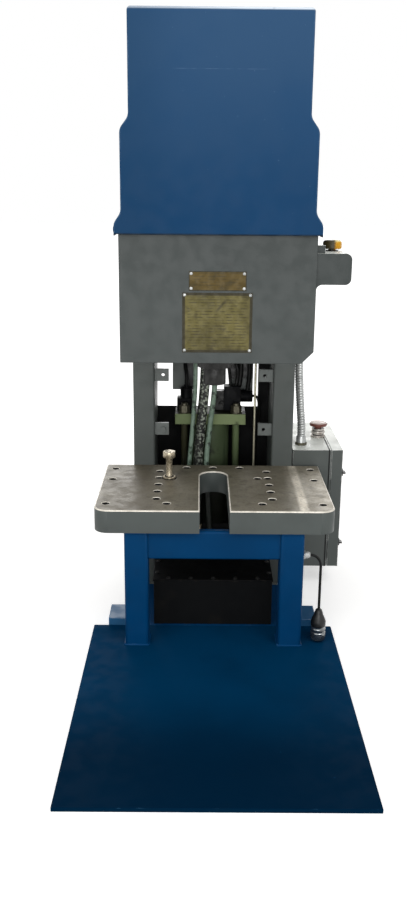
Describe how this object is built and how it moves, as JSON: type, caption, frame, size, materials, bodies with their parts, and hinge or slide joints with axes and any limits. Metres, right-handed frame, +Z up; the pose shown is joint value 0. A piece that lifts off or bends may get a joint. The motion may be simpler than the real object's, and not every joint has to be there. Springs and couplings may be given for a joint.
{
  "type": "ironworker machine",
  "caption": "Hydraulic ironworker press: slotted work table on a stand, ram under a head on columns, stepped hood, side control enclosure.",
  "frame": {"origin": "on the floor under the ram axis, on the underside of the sole plate", "axes": "+Z up, +X to the right of someone facing the machine, +Y from the front to the back"},
  "size_m": [0.89, 1.7315, 1.92],
  "materials": {
    "frame_gray": "satin gray paint",
    "stand_blue": "gloss blue paint",
    "deck_blue": "dark blue gloss paint",
    "hood_blue": "satin blue paint",
    "bare_steel": "machined, stained",
    "bright_steel": "bare metal",
    "dark_steel": "dark oiled steel",
    "dark_sheet": "dark paint",
    "booster_green": "pale green paint",
    "black_plastic": "matte black",
    "black_rubber": "matte black",
    "start_yellow": "moulded yellow",
    "stop_red": "faded red"
  },
  "bodies": {
    "frame": {"sole_plate": "stand_blue", "deck_plate": "deck_blue", "left_front_leg": "stand_blue", "right_front_leg": "stand_blue", "front_apron": "stand_blue", "left_side_rail": "stand_blue", "right_side_rail": "stand_blue", "foot_pads": "stand_blue", "work_table": "bare_steel", "stop_pin": "bare_steel", "left_column": "frame_gray", "right_column": "frame_gray", "guard_lugs": "frame_gray", "rear_panel": "dark_sheet", "head_floor_plate": "frame_gray", "left_head_plate": "frame_gray", "right_head_plate": "frame_gray", "head_back_plate": "frame_gray", "head_front_cover": "frame_gray", "hood_seat": "dark_steel", "hood": "hood_blue", "cylinder_barrel": "dark_steel", "cylinder_cap": "dark_steel", "cylinder_gland": "dark_steel", "cylinder_bolts": "dark_steel", "control_arm": "frame_gray", "start_ring": "black_plastic", "conduit": "bright_steel", "conduit_fittings": "bright_steel", "enclosure_box": "frame_gray", "mounting_panel": "bright_steel", "contactor": "black_plastic", "hinge_pins": "bright_steel", "stop_collar": "bright_steel", "oil_tank": "dark_sheet", "tank_lid": "dark_sheet", "booster_base": "booster_green", "booster_barrel": "booster_green", "booster_end_plate": "booster_green", "booster_tie_rods": "booster_green", "left_valve": "black_plastic", "right_valve": "black_plastic", "valve_box": "frame_gray", "lead_box": "frame_gray", "pressure_hose": "black_rubber", "hose_fittings": "bright_steel", "oil_lines": "booster_green", "return_tube": "bright_steel", "wire_duct": "dark_sheet", "cord_gland": "bright_steel", "pigtail_cord": "black_rubber", "cord_connector": "black_plastic"},
    "ram": {"piston": "bright_steel", "ram_rod": "bright_steel", "punch_holder": "dark_steel"},
    "start_cap": {"start_button": "start_yellow"},
    "stop_cap": {"stop_button": "stop_red"},
    "door": {"enclosure_door": "frame_gray"},
    "latch_high": {"upper_latch": "black_plastic"},
    "latch_low": {"lower_latch": "black_plastic"}
  },
  "joints": [
    {"name": "ram_slide", "type": "slide", "parent": "frame", "child": "ram", "axis": [0, 0, -1], "range_m": [0, 0.15]},
    {"name": "start_press", "type": "slide", "parent": "frame", "child": "start_cap", "axis": [0, 0, -1], "range_m": [0, 0.004], "stiffness_N_per_m": 800, "springref_m": -0.006},
    {"name": "stop_press", "type": "slide", "parent": "frame", "child": "stop_cap", "axis": [0, 0, -1], "range_m": [0, 0.006]},
    {"name": "door_hinge", "type": "hinge", "parent": "frame", "child": "door", "pos_m": [0.431, 0.546, 0.3], "axis": [0, 0, 1], "range_deg": [0, 110]},
    {"name": "latch_high_turn", "type": "hinge", "parent": "door", "child": "latch_high", "pos_m": [0.472, 0.162, 0.445], "axis": [1, 0, 0], "range_deg": [0, 90]},
    {"name": "latch_low_turn", "type": "hinge", "parent": "door", "child": "latch_low", "pos_m": [0.472, 0.162, 0.172], "axis": [1, 0, 0], "range_deg": [0, 90]}
  ]
}
